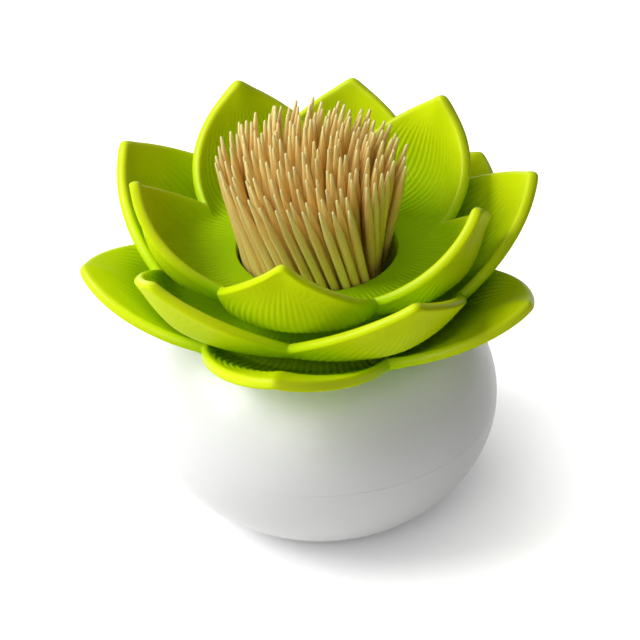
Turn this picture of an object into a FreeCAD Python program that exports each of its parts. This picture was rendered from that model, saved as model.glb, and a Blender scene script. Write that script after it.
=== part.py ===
import FreeCAD, Part
import math
import os

# Toothpick dispenser, millimetres.  The origin is the centre of the flat foot, +Z is up and -Y is
# the front.  A round two-part globe carries a flower head, which drops into the globe's mouth and
# lifts off for refilling.  The head is three petal rings stacked on a toothpick cup: the cup's
# flange lies on the stack and a retaining ring clamps it from below.  The toothpicks stand in the
# cup as a twisted bundle that fans out above the cup's mouth.

# ---- Globe -------------------------------------------------------------------------------------
globe_radius = 37.4             # at the seam round its middle
globe_half_height = 28.7        # vertical half axis of the globe's ellipse
globe_wall = 2.0
foot_radius = 20.9              # flat disc that it stands on
floor_thickness = 2.2
mouth_edge_radius = 23.7        # outer edge of the flat land round the mouth
mouth_collar_depth = 6.5        # guide collar that hangs below the land
mouth_collar_wall = 1.8
seam_lap = 2.5                  # height of the tongue that laps inside the upper half
seam_clearance = 0.1
seam_chamfer = 0.2              # fine V that shows where the halves meet

# ---- Toothpick cup and what clamps the head together -------------------------------------------
cup_radius = 16.7               # inside
cup_wall = 1.5
cup_depth = 37.3
cup_floor = 1.5
flange_width = 2.1
flange_thickness = 1.5
stack_clearance = 0.2           # between the cup's tube and the petal rings
retaining_ring_height = 5.5
retaining_ring_wall = 1.9
retaining_ring_clearance = 0.1  # on the cup's tube
spigot_clearance = 0.3          # between the retaining ring and the globe's mouth

# ---- Petal rings -------------------------------------------------------------------------------
petal_count = 5
petal_wall = 2.3
collar_wall = 1.9               # short tube on a ring's hub that carries what lies above
outer_collar_height = 3.2
middle_collar_height = 3.35

outer_hub_radius = 26.7         # where the petals leave the flat hub
outer_tip_radius = 49.2
outer_tip_rise = 13.5           # above the ring's own hub
outer_cusp_radius = 32.2        # in the notch between two petals
outer_cusp_rise = 4.3
outer_outline = 1.28            # 1 draws straight sides in polar terms, more makes them fuller
outer_hub_slope = 23.0
outer_tip_slope = 12.0
outer_cusp_slope = 33.0
outer_hub_reach = 0.46          # length of a profile curve's end handle over its chord
outer_rim_reach = 0.4

middle_hub_radius = 24.0
middle_tip_radius = 45.2
middle_tip_rise = 20.7
middle_cusp_radius = 32.8
middle_cusp_rise = 5.6
middle_outline = 1.2
middle_hub_slope = 5.0
middle_tip_slope = 66.0
middle_cusp_slope = 53.0
middle_hub_reach = 0.46
middle_rim_reach = 0.35

inner_hub_radius = 22.8
inner_tip_radius = 36.3
inner_tip_rise = 20.6
inner_cusp_radius = 26.0
inner_cusp_rise = 3.3
inner_outline = 2.3
inner_hub_slope = 0.0
inner_tip_slope = 68.0
inner_cusp_slope = 62.0
inner_hub_reach = 0.58
inner_rim_reach = 0.45

sections_per_half_petal = 6
points_per_profile = 6

# ---- Toothpicks --------------------------------------------------------------------------------
pick_diameter = 1.9
pick_length = 65.0
pick_taper = 7.5                # pointed length at each end
pick_tip_diameter = 0.9
pick_gap = 0.02                 # between neighbours where the bundle is narrowest
pick_side_clearance = 0.25      # between the bundle and the cup's mouth
pick_seat_gap = 0.3             # above the cup's floor
pick_centre_room = 0.2          # extra room round the middle toothpick, which is drawn by itself
pick_stagger = 2.2              # how far the points differ in height
pick_sides = 6
bundle_fan = 1.39               # radius at the toothpicks' own height over radius at the floor
bundle_twist = 75.7             # degrees, clockwise seen from above, floor to top
gap_row_start = 18.0            # sector of the last row that has been used up, degrees
gap_row_end = 66.0

# ---- What follows from them --------------------------------------------------------------------
globe_centre = globe_half_height * math.sqrt(1.0 - (foot_radius / globe_radius) ** 2)
mouth_height = globe_centre + globe_half_height * math.sqrt(1.0 - (mouth_edge_radius / globe_radius) ** 2)
cup_outer_radius = cup_radius + cup_wall
stack_bore = cup_outer_radius + stack_clearance
flange_radius = cup_outer_radius + flange_width
collar_radius = stack_bore + collar_wall
retaining_ring_bore = cup_outer_radius + retaining_ring_clearance
retaining_ring_radius = retaining_ring_bore + retaining_ring_wall
mouth_bore = retaining_ring_radius + spigot_clearance
half_petal = 180.0 / petal_count
front = -90.0                   # direction of the front petal

outer_hub_bottom = mouth_height
outer_hub_top = outer_hub_bottom + petal_wall * math.cos(math.radians(outer_hub_slope))
middle_hub_bottom = outer_hub_top + outer_collar_height
middle_hub_top = middle_hub_bottom + petal_wall * math.cos(math.radians(middle_hub_slope))
flange_bottom = middle_hub_top + middle_collar_height
cup_top = flange_bottom + flange_thickness
inner_hub_bottom = cup_top
inner_hub_top = inner_hub_bottom + petal_wall * math.cos(math.radians(inner_hub_slope))
cup_floor_height = cup_top - cup_depth

UP = FreeCAD.Vector(0, 0, 1)
ORIGIN = FreeCAD.Vector(0, 0, 0)


def save(name, shape):
    shape.exportStep("parts/" + name + ".step")


def at(radius, height):
    """A point of a profile, in the XZ plane."""
    return FreeCAD.Vector(radius, 0, height)


def lines(points):
    """Straight edges from each (radius, height) to the next."""
    places = [at(*point) for point in points]
    return [Part.LineSegment(a, b).toShape() for a, b in zip(places, places[1:])]


def turned(edges):
    """The solid of revolution about Z of a closed profile."""
    return Part.Face(Part.Wire(edges)).revolve(ORIGIN, UP, 360)


def closed(faces):
    """The solid that a closed set of faces bounds, with its flat and round faces joined up."""
    shell = Part.makeShell(faces)
    shell.sewShape()
    solid = Part.makeSolid(shell.removeSplitter())
    if solid.Volume < 0:
        solid.reverse()
    return solid


# ---- Globe halves ------------------------------------------------------------------------------
def ellipse_radius(inset, height):
    """Radius of the globe's surface, set in by a wall, at a height."""
    ratio = (height - globe_centre) / (globe_half_height - inset)
    return (globe_radius - inset) * math.sqrt(1.0 - ratio * ratio)


def ellipse_height(inset, radius):
    """Height of the upper half's surface, set in by a wall, at a radius."""
    ratio = radius / (globe_radius - inset)
    return globe_centre + (globe_half_height - inset) * math.sqrt(1.0 - ratio * ratio)


def ellipse_arc(inset, low, high):
    """The globe's meridian between two heights."""
    half_height = globe_half_height - inset
    ellipse = Part.Ellipse(at(globe_radius - inset, globe_centre),
                           at(0, globe_centre + half_height), at(0, globe_centre))
    start = math.asin((low - globe_centre) / half_height)
    end = math.asin((high - globe_centre) / half_height)
    return Part.ArcOfEllipse(ellipse, start, end).toShape()


tongue_radius = globe_radius - globe_wall / 2 - seam_clearance / 2
groove_radius = globe_radius - globe_wall / 2 + seam_clearance / 2


def base_shell():
    """Lower half: flat foot, curved wall and the tongue that laps inside the upper half."""
    seam = globe_centre
    chamfer_height = seam - seam_chamfer
    inner_radius = globe_radius - globe_wall
    edges = lines([(0, floor_thickness), (0, 0), (foot_radius, 0)])
    edges.append(ellipse_arc(0, 0, chamfer_height))
    edges += lines([(ellipse_radius(0, chamfer_height), chamfer_height),
                    (globe_radius - seam_chamfer, seam), (tongue_radius, seam),
                    (tongue_radius, seam + seam_lap), (inner_radius, seam + seam_lap),
                    (inner_radius, seam)])
    edges.append(ellipse_arc(globe_wall, floor_thickness, seam))
    edges += lines([(ellipse_radius(globe_wall, floor_thickness), floor_thickness),
                    (0, floor_thickness)])
    return turned(edges)


def top_shell():
    """Upper half: curved wall, flat land round the mouth and the collar that guides the head."""
    seam = globe_centre
    chamfer_height = seam + seam_chamfer
    lap_top = seam + seam_lap + seam_clearance
    collar_outside = mouth_bore + mouth_collar_wall
    collar_root = ellipse_height(globe_wall, collar_outside)
    collar_bottom = mouth_height - mouth_collar_depth
    edges = [ellipse_arc(0, chamfer_height, mouth_height)]
    edges += lines([(mouth_edge_radius, mouth_height), (mouth_bore, mouth_height),
                    (mouth_bore, collar_bottom), (collar_outside, collar_bottom),
                    (collar_outside, collar_root)])
    edges.append(ellipse_arc(globe_wall, lap_top, collar_root))
    edges += lines([(ellipse_radius(globe_wall, lap_top), lap_top), (groove_radius, lap_top),
                    (groove_radius, seam), (globe_radius - seam_chamfer, seam),
                    (ellipse_radius(0, chamfer_height), chamfer_height)])
    return turned(edges)


# ---- Cup and retaining ring --------------------------------------------------------------------
def toothpick_cup():
    """Open tube with a floor, and the flange that lies on the middle ring's collar."""
    underside = cup_floor_height - cup_floor
    return turned(lines([(0, underside), (cup_outer_radius, underside),
                         (cup_outer_radius, flange_bottom), (flange_radius, flange_bottom),
                         (flange_radius, cup_top), (cup_radius, cup_top),
                         (cup_radius, cup_floor_height), (0, cup_floor_height), (0, underside)]))


def retaining_ring():
    """Ring on the cup's tube that clamps the petal rings and centres the head in the mouth."""
    top = outer_hub_bottom
    bottom = top - retaining_ring_height
    lead_in = retaining_ring_wall / 2
    return turned(lines([(retaining_ring_bore, top), (retaining_ring_bore, bottom),
                         (retaining_ring_radius - lead_in, bottom),
                         (retaining_ring_radius, bottom + lead_in),
                         (retaining_ring_radius, top), (retaining_ring_bore, top)]))


# ---- Petal rings -------------------------------------------------------------------------------
def rise_curve(start, start_slope, end, end_slope, reaches):
    """Points of a petal's upper profile, and the same points one wall thickness below.

    The profile is a cubic Bezier curve in (radius, height) from the hub to the rim.  Its handles
    leave both ends at the given slopes, and each is its own share of the chord long."""
    chord = math.hypot(end[0] - start[0], end[1] - start[1])
    first = math.radians(start_slope)
    last = math.radians(end_slope)
    hub_reach = chord * reaches[0]
    rim_reach = chord * reaches[1]
    handle_a = (start[0] + hub_reach * math.cos(first), start[1] + hub_reach * math.sin(first))
    handle_b = (end[0] - rim_reach * math.cos(last), end[1] - rim_reach * math.sin(last))
    upper = []
    lower = []
    for step in range(points_per_profile):
        t = step / (points_per_profile - 1)
        u = 1.0 - t
        spot = [u ** 3 * start[k] + 3 * u * u * t * handle_a[k] + 3 * u * t * t * handle_b[k]
                + t ** 3 * end[k] for k in (0, 1)]
        along = [u * u * (handle_a[k] - start[k]) + 2 * u * t * (handle_b[k] - handle_a[k])
                 + t * t * (end[k] - handle_b[k]) for k in (0, 1)]
        scale = petal_wall / math.hypot(*along)
        upper.append((spot[0], spot[1]))
        lower.append((spot[0] + along[1] * scale, spot[1] - along[0] * scale))
    return upper, lower


def meridian(point, angle):
    """A (radius, height) point swung about Z."""
    turn = math.radians(angle)
    return FreeCAD.Vector(point[0] * math.cos(turn), point[0] * math.sin(turn), point[1])


def skin(rows):
    """Smooth face through rows of points."""
    surface = Part.BSplineSurface()
    surface.interpolate(rows)
    return surface.toShape()


def edge_near(face, point):
    """The face's edge that passes a point."""
    spot = Part.Vertex(point)
    return min(face.Edges, key=lambda edge: edge.distToShape(spot)[0])


def half_petal_skin(hub, tip, cusp, outline, slopes, reaches):
    """Upper face, lower face and rim of half a petal, from its midline at 0 degrees to the cusp.

    Going from the tip to the cusp, the rim's height falls evenly and its radius falls as a power
    of the share of the angle, which rounds the petal's shoulders and leaves the tip pointed.  The
    edges where the two faces meet the hub are returned as well."""
    hub_slope, tip_slope, cusp_slope = slopes
    upper_rows = []
    lower_rows = []
    for section in range(sections_per_half_petal + 1):
        share = section / sections_per_half_petal
        rim = (tip[0] - (tip[0] - cusp[0]) * share ** outline, tip[1] - (tip[1] - cusp[1]) * share)
        rim_slope = tip_slope + (cusp_slope - tip_slope) * share
        upper, lower = rise_curve(hub, hub_slope, rim, rim_slope, reaches)
        upper_rows.append([meridian(point, share * half_petal) for point in upper])
        lower_rows.append([meridian(point, share * half_petal) for point in lower])
    upper_face = skin(upper_rows)
    lower_face = skin(lower_rows)
    middle = sections_per_half_petal // 2
    rims = [edge_near(upper_face, upper_rows[middle][-1]), edge_near(lower_face, lower_rows[middle][-1])]
    hub_edges = [edge_near(upper_face, upper_rows[middle][0]), edge_near(lower_face, lower_rows[middle][0])]
    return [upper_face, lower_face, Part.makeRuledSurface(*rims)], hub_edges


def flat_of_hub(petal_edge, radius, height):
    """Flat face between a petal's edge on the hub and an arc of the hub, over half a petal."""
    arc = Part.ArcOfCircle(Part.Circle(at(0, height), UP, radius), 0, math.radians(half_petal)).toShape()
    ends = sorted(petal_edge.Vertexes, key=lambda vertex: vertex.Point.y)
    near = Part.LineSegment(at(radius, height), ends[0].Point).toShape()
    far = Part.LineSegment(meridian((radius, height), half_petal), ends[1].Point).toShape()
    return Part.Face(Part.Wire(Part.__sortEdges__([petal_edge, far, arc, near])))


def hub_skin(profile, hub_edges):
    """The hub's faces over half a petal.

    The profile runs from the upper flat's inner edge, round the collar and the bore, to the
    underside's inner edge; its two flats are closed against the petal's own edges."""
    faces = [flat_of_hub(hub_edges[0], *profile[0]), flat_of_hub(hub_edges[1], *profile[-1])]
    for edge in lines(profile):
        faces += edge.revolve(ORIGIN, UP, half_petal).Faces
    return faces


def petal_ring(hub_profile, hub, tip, cusp, outline, slopes, reaches, first_angle):
    """One moulding: half a petal with its share of the hub, mirrored and repeated round Z."""
    half, hub_edges = half_petal_skin(hub, tip, cusp, outline, slopes, reaches)
    half += hub_skin(hub_profile, hub_edges)
    petal = half + [face.mirror(ORIGIN, FreeCAD.Vector(0, 1, 0)) for face in half]
    faces = []
    for number in range(petal_count):
        angle = first_angle + number * 2 * half_petal
        for face in petal:
            faces.append(face.rotated(ORIGIN, UP, angle))
    return closed(faces)


def outer_petals():
    slopes = (outer_hub_slope, outer_tip_slope, outer_cusp_slope)
    reaches = (outer_hub_reach, outer_rim_reach)
    profile = [(collar_radius, outer_hub_top), (collar_radius, middle_hub_bottom),
               (stack_bore, middle_hub_bottom), (stack_bore, outer_hub_bottom)]
    return petal_ring(profile, (outer_hub_radius, outer_hub_top),
                      (outer_tip_radius, outer_hub_top + outer_tip_rise),
                      (outer_cusp_radius, outer_hub_top + outer_cusp_rise),
                      outer_outline, slopes, reaches, front)


def middle_petals():
    slopes = (middle_hub_slope, middle_tip_slope, middle_cusp_slope)
    reaches = (middle_hub_reach, middle_rim_reach)
    profile = [(collar_radius, middle_hub_top), (collar_radius, flange_bottom),
               (stack_bore, flange_bottom), (stack_bore, middle_hub_bottom)]
    return petal_ring(profile, (middle_hub_radius, middle_hub_top),
                      (middle_tip_radius, middle_hub_top + middle_tip_rise),
                      (middle_cusp_radius, middle_hub_top + middle_cusp_rise),
                      middle_outline, slopes, reaches, front + half_petal)


def inner_petals():
    slopes = (inner_hub_slope, inner_tip_slope, inner_cusp_slope)
    reaches = (inner_hub_reach, inner_rim_reach)
    profile = [(cup_radius, inner_hub_top), (cup_radius, inner_hub_bottom)]
    return petal_ring(profile, (inner_hub_radius, inner_hub_top),
                      (inner_tip_radius, inner_hub_top + inner_tip_rise),
                      (inner_cusp_radius, inner_hub_top + inner_cusp_rise),
                      inner_outline, slopes, reaches, front)


# ---- Toothpicks --------------------------------------------------------------------------------
# Seen from above, a toothpick's place at a height is its place on the floor times one complex
# number that moves evenly from 1 at the floor to fan * e^(-i twist) at the toothpicks' own height.
# All toothpicks share that number, so they turn about each other without crossing.
def bundle_ratio(height):
    top = bundle_fan * complex(math.cos(math.radians(bundle_twist)), -math.sin(math.radians(bundle_twist)))
    share = (height - cup_floor_height) / pick_length
    return 1.0 + (top - 1.0) * share


top_ratio = bundle_ratio(cup_floor_height + pick_length)
waist_ratio = abs(top_ratio.imag) / abs(top_ratio - 1.0)
row_pitch = (pick_diameter + pick_gap) / waist_ratio
mouth_room = (cup_radius - pick_diameter / 2 - pick_side_clearance) / abs(bundle_ratio(inner_hub_top))
row_count = int((mouth_room - pick_centre_room) / row_pitch)


def toothpick():
    """One toothpick along +Z from the origin, pointed at both ends, with flat sides."""
    rings = []
    for height, diameter in ((0, pick_tip_diameter), (pick_taper, pick_diameter),
                             (pick_length - pick_taper, pick_diameter), (pick_length, pick_tip_diameter)):
        corners = [meridian((diameter / 2, height), 360.0 * side / pick_sides)
                   for side in range(pick_sides + 1)]
        rings.append(corners)
    faces = [Part.Face(Part.makePolygon(rings[0])), Part.Face(Part.makePolygon(rings[-1]))]
    for low, high in zip(rings, rings[1:]):
        for side in range(pick_sides):
            corners = [low[side], low[side + 1], high[side + 1], high[side], low[side]]
            faces.append(Part.Face(Part.makePolygon(corners)))
    return closed(faces)


def stand(pick, radius, angle, lift):
    """A toothpick on its line through the bundle, pushed up along that line by its lift."""
    foot = radius * complex(math.cos(math.radians(angle)), math.sin(math.radians(angle)))
    travel = foot * (top_ratio - 1.0)
    direction = FreeCAD.Vector(travel.real, travel.imag, pick_length).normalize()
    floor_spot = FreeCAD.Vector(foot.real, foot.imag, cup_floor_height + pick_seat_gap)
    placed = pick.copy()
    placed.Placement = FreeCAD.Placement(floor_spot + direction * lift, FreeCAD.Rotation(UP, direction))
    return placed


def toothpick_row(pick, row):
    """The toothpicks of one row round the bundle, their points at uneven heights."""
    radius = pick_centre_room + row * row_pitch
    count = 6 * row
    picks = []
    for number in range(count):
        angle = 360.0 * (number + 0.5 * (row % 2)) / count
        if row == row_count and gap_row_start < angle < gap_row_end:
            continue
        lift = pick_stagger * math.modf((number + 5 * row) * 0.618)[0]
        picks.append(stand(pick, radius, angle, lift))
    return Part.makeCompound(picks)


os.makedirs("parts", exist_ok=True)
save("base_shell", base_shell())
save("top_shell", top_shell())
save("outer_petals", outer_petals())
save("middle_petals", middle_petals())
save("inner_petals", inner_petals())
save("toothpick_cup", toothpick_cup())
save("retaining_ring", retaining_ring())
single_pick = toothpick()
save("middle_toothpick", stand(single_pick, 0, 0, 0))
for row_number in range(1, row_count + 1):
    save("toothpick_row_%d" % row_number, toothpick_row(single_pick, row_number))
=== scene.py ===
import bpy
import numpy as np
from bpy.props import FloatProperty, FloatVectorProperty, IntProperty, PointerProperty
from mathutils import Matrix, Vector


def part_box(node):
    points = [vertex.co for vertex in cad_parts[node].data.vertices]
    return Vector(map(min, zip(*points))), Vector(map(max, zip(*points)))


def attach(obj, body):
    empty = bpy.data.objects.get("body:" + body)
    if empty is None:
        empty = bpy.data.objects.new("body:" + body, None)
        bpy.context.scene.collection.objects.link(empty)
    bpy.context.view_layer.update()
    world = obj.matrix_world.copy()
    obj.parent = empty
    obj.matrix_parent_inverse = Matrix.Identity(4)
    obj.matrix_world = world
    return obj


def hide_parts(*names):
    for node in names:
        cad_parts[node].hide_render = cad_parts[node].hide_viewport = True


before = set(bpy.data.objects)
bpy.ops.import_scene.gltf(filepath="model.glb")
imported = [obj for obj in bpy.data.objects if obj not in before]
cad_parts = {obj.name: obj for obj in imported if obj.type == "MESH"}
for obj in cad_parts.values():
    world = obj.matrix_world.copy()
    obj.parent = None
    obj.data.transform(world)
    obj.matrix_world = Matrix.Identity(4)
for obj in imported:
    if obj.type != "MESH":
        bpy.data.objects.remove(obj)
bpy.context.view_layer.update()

bl_info = {
    "name": "Flower Toothpick Dispenser",
    "version": (1, 0, 0),
    "blender": (4, 5, 0),
    "location": "3D View > Sidebar > Dispenser",
    "description": "Builds the surfaces, finishes and studio of a flower-shaped toothpick dispenser",
    "category": "Add Mesh",
}

MOUTH_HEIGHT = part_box("top_shell")[1].z
SEAM_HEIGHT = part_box("top_shell")[0].z
CUP_LOW, CUP_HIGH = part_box("toothpick_cup")
RING_LOW, RING_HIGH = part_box("retaining_ring")

# Faces round each kind of piece, and points along the globe's outer and inner meridian in each half.
GLOBE_COLUMNS, TUBE_COLUMNS, TOOTHPICK_COLUMNS, FLOOR_COLUMNS = 224, 128, 8, 96
OUTER_ARC_STEPS, INNER_ARC_STEPS = 72, 48
# Rows of a petal's section, and places between notch and tip at which the rim is measured.
FLAT_ROWS, UPPER_ROWS, RIM_ROWS, LOWER_ROWS = 8, 44, 21, 26
LADDER_STEPS = 60
# How far edges are cut round: the globe's seam and mouth, the inner ring's mouth, the other hubs.
SEAM_EASE, MOUTH_EASE, DISH_EASE, HUB_EASE = 0.00006, 0.0004, 0.0008, 0.0002
# From the inner ring's mouth, or from a collar, to the first point of the flat hub.
DISH_START, COLLAR_START = 0.0009, 0.0003
# Where the ribs' grooves fade: in metres from the flat hub's start, from the hub's edge and beside
# the rounded rim, and in shares of the way up the upper and the lower face.
START_FADE, HUB_FADE, RIM_FADE = (0.0016, 0.0046), (0.002, 0.005), 0.0013
UPPER_FADE, LOWER_FADE = (0.55, 0.95), (0.72, 0.97)
# Shares of a half petal over which the midline is rounded next to the hub and for the rim's lean,
# and the share of that rounding by which a tip is cut back.
HUB_SOFTNESS, LEAN_SOFTNESS, TIP_CUT = 0.14, 0.12, 0.3
# Rings along a toothpick's point, as shares of the taper, and by what share of the taper's growth
# in width its very end is narrower.
POINT_RINGS, END_CLOSING = (0.04, 0.3, 0.62, 1), 0.2
# Step of the toothpicks' heights, as a share of the stagger, the share of the stagger that is left
# out in front, the power that makes dark ones rare, and the seed of their leans and tones.
GOLDEN_STEP, FRONT_EVENNESS, TONE_POWER, SEED = 0.618, 0.75, 1.6, 7
MIDDLE_TONE = 0.2
# The lamps' names, spots and widths, and the point that they face.
SOFTBOXES = (("key", (-0.91, -0.22, 0.82), 0.8), ("fill", (-0.15, -1.03, 0.66), 0.6),
             ("back", (-0.44, 0.63, 0.97), 0.6))
LIT_SPOT = Vector((0, 0, 0.05))


# ---- Settings ----
def length(name, description, default):
    """A size in metres."""
    return FloatProperty(name=name, description=description, default=default, min=0.0,
                         precision=5, unit="LENGTH")


def slope(name, description, degrees):
    """An angle in radians, given in degrees."""
    return FloatProperty(name=name, description=description, default=float(np.radians(degrees)),
                         unit="ROTATION")


def number(name, description, default):
    """A plain number."""
    return FloatProperty(name=name, description=description, default=default, min=0.0, max=1000.0)


def share(name, description, default):
    """A number from 0 to 1."""
    return FloatProperty(name=name, description=description, default=default, min=0.0, max=1.0,
                         subtype="FACTOR")


def colour(name, description, default):
    """A linear colour."""
    return FloatVectorProperty(name=name, description=description, default=default, size=3,
                               min=0.0, max=1.0, subtype="COLOR")


class GlobeSettings(bpy.types.PropertyGroup):
    radius: length("Radius", "Widest radius, at the seam", 0.0374)
    half_height: length("Half height", "Vertical half axis of the globe's ellipse", 0.0287)
    wall: length("Wall", "Thickness of the globe's wall", 0.002)
    foot_radius: length("Foot radius", "Flat disc that the globe stands on", 0.0209)
    floor: length("Floor", "Thickness of the globe's floor", 0.0022)
    mouth_edge: length("Mouth edge", "Outer radius of the flat land round the mouth", 0.0237)
    mouth_bore: length("Mouth bore", "Radius of the mouth", 0.0208)
    collar_depth: length("Collar depth", "Guide collar that hangs below the land", 0.0065)
    collar_wall: length("Collar wall", "Thickness of the guide collar", 0.0018)
    seam_lap: length("Seam lap", "Tongue that laps inside the upper half", 0.0025)
    seam_gap: length("Seam gap", "Clearance between tongue and groove", 0.0001)
    seam_groove: length("Seam groove", "Depth of the fine V where the halves meet", 0.00005)
    ease: length("Edge ease", "How far the moulded edges are cut round", 0.0005)
    tint: colour("Colour", "Colour of the glossy plastic", (0.84, 0.84, 0.84))


# Each petal ring has these settings: the kind, the label, the description and the defaults of the
# outer, the middle and the inner ring.
RING_FIELDS = {
    "hub_radius": (length, "Hub radius", "Where the petals leave the hub", 0.0267, 0.0240, 0.0228),
    "tip_radius": (length, "Tip radius", "How far out the tips reach", 0.0492, 0.0447, 0.0363),
    "tip_rise": (length, "Tip rise", "Height of the tips above the hub", 0.0135, 0.0207, 0.0206),
    "cusp_radius": (length, "Notch radius", "Radius of the notch between two petals",
                    0.0322, 0.0328, 0.0260),
    "cusp_rise": (length, "Notch rise", "Height of the notch above the hub", 0.0043, 0.0056, 0.0033),
    "outline": (number, "Outline", "1 draws straight sides, more makes them fuller", 1.28, 1.2, 2.3),
    "hub_slope": (slope, "Hub slope", "Slope of a petal's profile at the hub", 23.0, 5.0, 0.0),
    "tip_slope": (slope, "Tip slope", "Slope of the profile at the tip", 12.0, 66.0, 68.0),
    "cusp_slope": (slope, "Notch slope", "Slope of the profile at the notch", 33.0, 53.0, 62.0),
    "hub_reach": (share, "Hub reach", "Length of the profile's hub handle over its chord",
                  0.46, 0.46, 0.58),
    "rim_reach": (share, "Rim reach", "Length of the profile's rim handle over its chord",
                  0.40, 0.35, 0.45),
    "tip_round": (share, "Tip round", "Share of a half petal over which its tip is rounded",
                  0.025, 0.035, 0.05),
}


def ring_settings(name, place):
    """The class for one ring's settings, with the defaults that stand at its place."""
    fields = {field: kind(label, description, defaults[place])
              for field, (kind, label, description, *defaults) in RING_FIELDS.items()}
    return type(name, (bpy.types.PropertyGroup,), {"__annotations__": fields})


OuterPetalSettings = ring_settings("OuterPetalSettings", 0)
MiddlePetalSettings = ring_settings("MiddlePetalSettings", 1)
InnerPetalSettings = ring_settings("InnerPetalSettings", 2)


class PetalSettings(bpy.types.PropertyGroup):
    count: IntProperty(name="Petals", description="Petals in each ring", default=5, min=3, max=12)
    wall: length("Wall", "Thickness of the petals", 0.0023)
    collar_wall: length("Collar wall", "Short tube on a hub that carries what lies above", 0.0019)
    ribs: IntProperty(name="Ribs", description="Fine ribs across one petal", default=23, min=3, max=60)
    rib_depth: length("Rib depth", "Depth of the grooves between the ribs", 0.00022)
    rim_round: length("Rim round", "Width of the rounded rim on the upper face", 0.0012)
    edge_round: length("Edge round", "Width of the rounded edge on the lower face", 0.0007)
    rim_depth: share("Rim depth", "Share of the wall that the rim's upper rounding takes", 0.6)
    rim_square: share("Rim squareness", "1 rounds the rim as ellipses, less makes it squarer", 0.7)
    columns: IntProperty(name="Columns", description="Columns of faces over one petal", default=168,
                         min=24, max=200)
    tint: colour("Colour", "Colour of the petals near the rims", (0.72, 0.87, 0.004))
    # Painted shade: the hub colour is darker and greener, standing in for the shade deep in the
    # flower.
    painted_hub_shade: colour("Hub colour", "Colour of the petals near the hubs", (0.38, 0.66, 0.003))


class CupSettings(bpy.types.PropertyGroup):
    radius: length("Inner radius", "Radius of the cup's inside", 0.0167)
    wall: length("Wall", "Thickness of the cup's wall", 0.0015)
    floor: length("Floor", "Thickness of the cup's floor", 0.0015)
    flange_width: length("Flange width", "How far the flange stands out", 0.0021)
    flange_thickness: length("Flange thickness", "Thickness of the flange", 0.0015)
    stack_gap: length("Stack gap", "Clearance between the cup and the petal rings", 0.0002)
    ring_gap: length("Ring gap", "Clearance of the retaining ring on the cup", 0.0001)
    ring_wall: length("Ring wall", "Thickness of the retaining ring", 0.0019)
    ease: length("Edge ease", "How far the moulded edges are cut round", 0.0003)
    tint: colour("Colour", "Colour of the cup and the retaining ring", (0.47, 0.63, 0.003))


class ToothpickSettings(bpy.types.PropertyGroup):
    diameter: length("Diameter", "Thickness of a toothpick", 0.0019)
    long: length("Length", "Length of a toothpick", 0.065)
    taper: length("Taper", "Pointed length at each end", 0.008)
    tip_diameter: length("Tip diameter", "Width of the blunt points", 0.00055)
    seat_gap: length("Seat gap", "Height of the lowest points above the cup's floor", 0.0003)
    neighbour_gap: length("Neighbour gap", "Gap where the bundle is narrowest", 0.00002)
    side_gap: length("Side gap", "Gap between the bundle and the cup's mouth", 0.00025)
    centre_room: length("Centre room", "Extra room round the middle toothpick", 0.0002)
    stagger: length("Stagger", "How far the points differ in height", 0.0022)
    fan: number("Fan", "Radius at the toothpicks' height over radius at the floor", 1.39)
    twist: slope("Twist", "Clockwise turn of the bundle, seen from above", 75.7)
    sway: length("Sway", "How far a point in the last row may stand off its line", 0.0018)
    lean: length("Lean", "How far the points of one side stand in from their lines", 0.0022)
    lean_side: slope("Lean side", "Direction of that side, seen from above", 50.0)
    forward: length("Forward", "How far the points at the front and sides stand forward", 0.0012)
    gap_start: slope("Gap start", "Where the used-up part of the last row starts", 18.0)
    gap_end: slope("Gap end", "Where the used-up part of the last row ends", 66.0)
    tint: colour("Colour", "Colour of the bamboo", (1.0, 0.70, 0.21))
    dark: colour("Dark fibres", "Colour of the dark fibres", (0.60, 0.29, 0.055))


class StageSettings(bpy.types.PropertyGroup):
    key: number("Key light", "Power of the large softbox at the upper left, in watts", 14.0)
    fill: number("Fill light", "Power of the softbox in front, in watts", 3.0)
    back: number("Back light", "Power of the softbox at the back left, in watts", 1.8)
    ambient: share("Ambient", "Strength of the white surroundings on the object", 0.06)
    # Painted shadow: this weak glow next to the foot keeps the floor darker round the object.
    painted_shadow_floor_glow: share("Floor glow", "What the camera sees of the floor besides its shading", 0.11)
    far_glow: share("Far glow", "The same, away from the object", 0.85)
    floor_tint: colour("Floor colour", "Colour of the floor", (0.93, 0.93, 0.93))
    floor_drop: length("Floor drop", "How far the floor lies under the foot", 0.0001)
    distance: length("Camera distance", "From the camera to the point it looks at", 0.8607)
    target_height: length("Target height", "Height of the point that the camera looks at", 0.04187)
    target_side: length("Target side", "How far right of the axis the camera looks", 0.00017)
    elevation: slope("Elevation", "How far the camera looks down", 35.03)
    azimuth: slope("Azimuth", "How far the camera stands to the right of the front", 10.94)
    roll: slope("Roll", "Turn of the picture", -1.65)
    lens: number("Lens", "Focal length on a 36 mm sensor, in millimetres", 230.2)


class DispenserSettings(bpy.types.PropertyGroup):
    globe: PointerProperty(type=GlobeSettings)
    petals: PointerProperty(type=PetalSettings)
    outer: PointerProperty(type=OuterPetalSettings)
    middle: PointerProperty(type=MiddlePetalSettings)
    inner: PointerProperty(type=InnerPetalSettings)
    cup: PointerProperty(type=CupSettings)
    toothpicks: PointerProperty(type=ToothpickSettings)
    stage: PointerProperty(type=StageSettings)


# ---- Meshes ----
def outward(vertices, quads):
    """The faces, turned over if they enclose a negative volume.

    A quad's share of the volume is the box product of its first corner and its two diagonals."""
    a, b, c, d = (vertices[quads[:, k]] for k in range(4))
    volume = np.einsum("ij,ij->i", a, np.cross(c - a, d - b)).sum()
    return quads[:, ::-1] if volume < 0 else quads


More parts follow.
